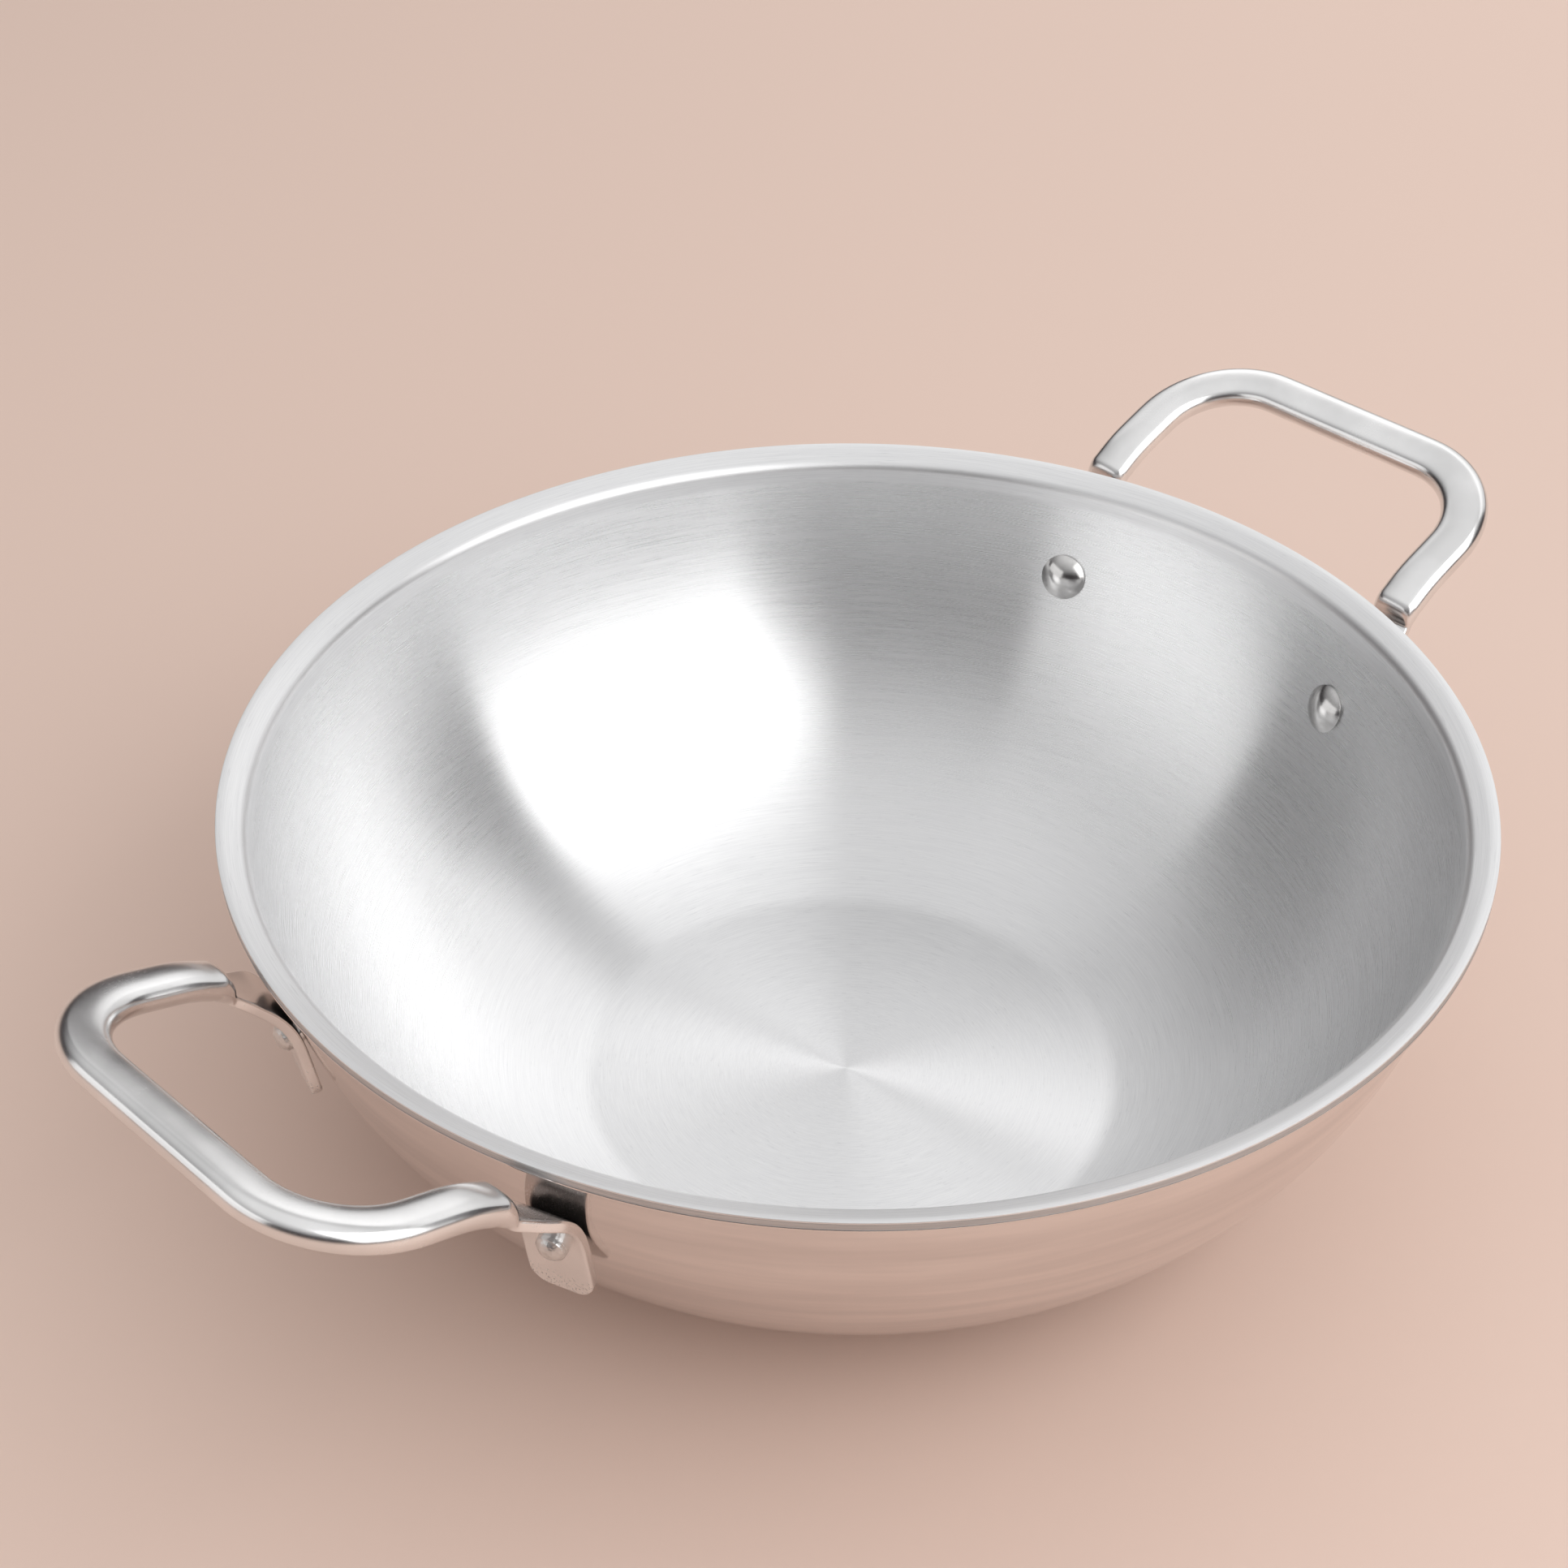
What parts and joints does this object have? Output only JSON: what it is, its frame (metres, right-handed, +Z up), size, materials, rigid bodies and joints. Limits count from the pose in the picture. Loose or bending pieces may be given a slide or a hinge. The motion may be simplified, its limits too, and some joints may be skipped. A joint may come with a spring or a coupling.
{
  "type": "kadai",
  "caption": "Deep round-bottomed cooking pan of three-ply sheet, with a flat base, a flared pouring lip and a solid loop handle riveted to each side",
  "frame": {"origin": "centre of the base's underside, on the surface that the pan stands on", "axes": "+X runs through the middle of the two handles, +Y across them, +Z up"},
  "size_m": [0.3466, 0.26, 0.1008],
  "materials": {
    "inner_skin": "circular brushed satin",
    "core_sheet": "sheared edge",
    "outer_skin": "mirror polished",
    "handle_steel": "polished",
    "rivet_steel": "polished"
  },
  "bodies": {
    "root": {"inner_ply": "inner_skin", "core_ply": "core_sheet", "outer_ply": "outer_skin", "handle_left": "handle_steel", "handle_right": "handle_steel", "rivet_left_front": "rivet_steel", "rivet_left_back": "rivet_steel", "rivet_right_front": "rivet_steel", "rivet_right_back": "rivet_steel"}
  },
  "joints": []
}
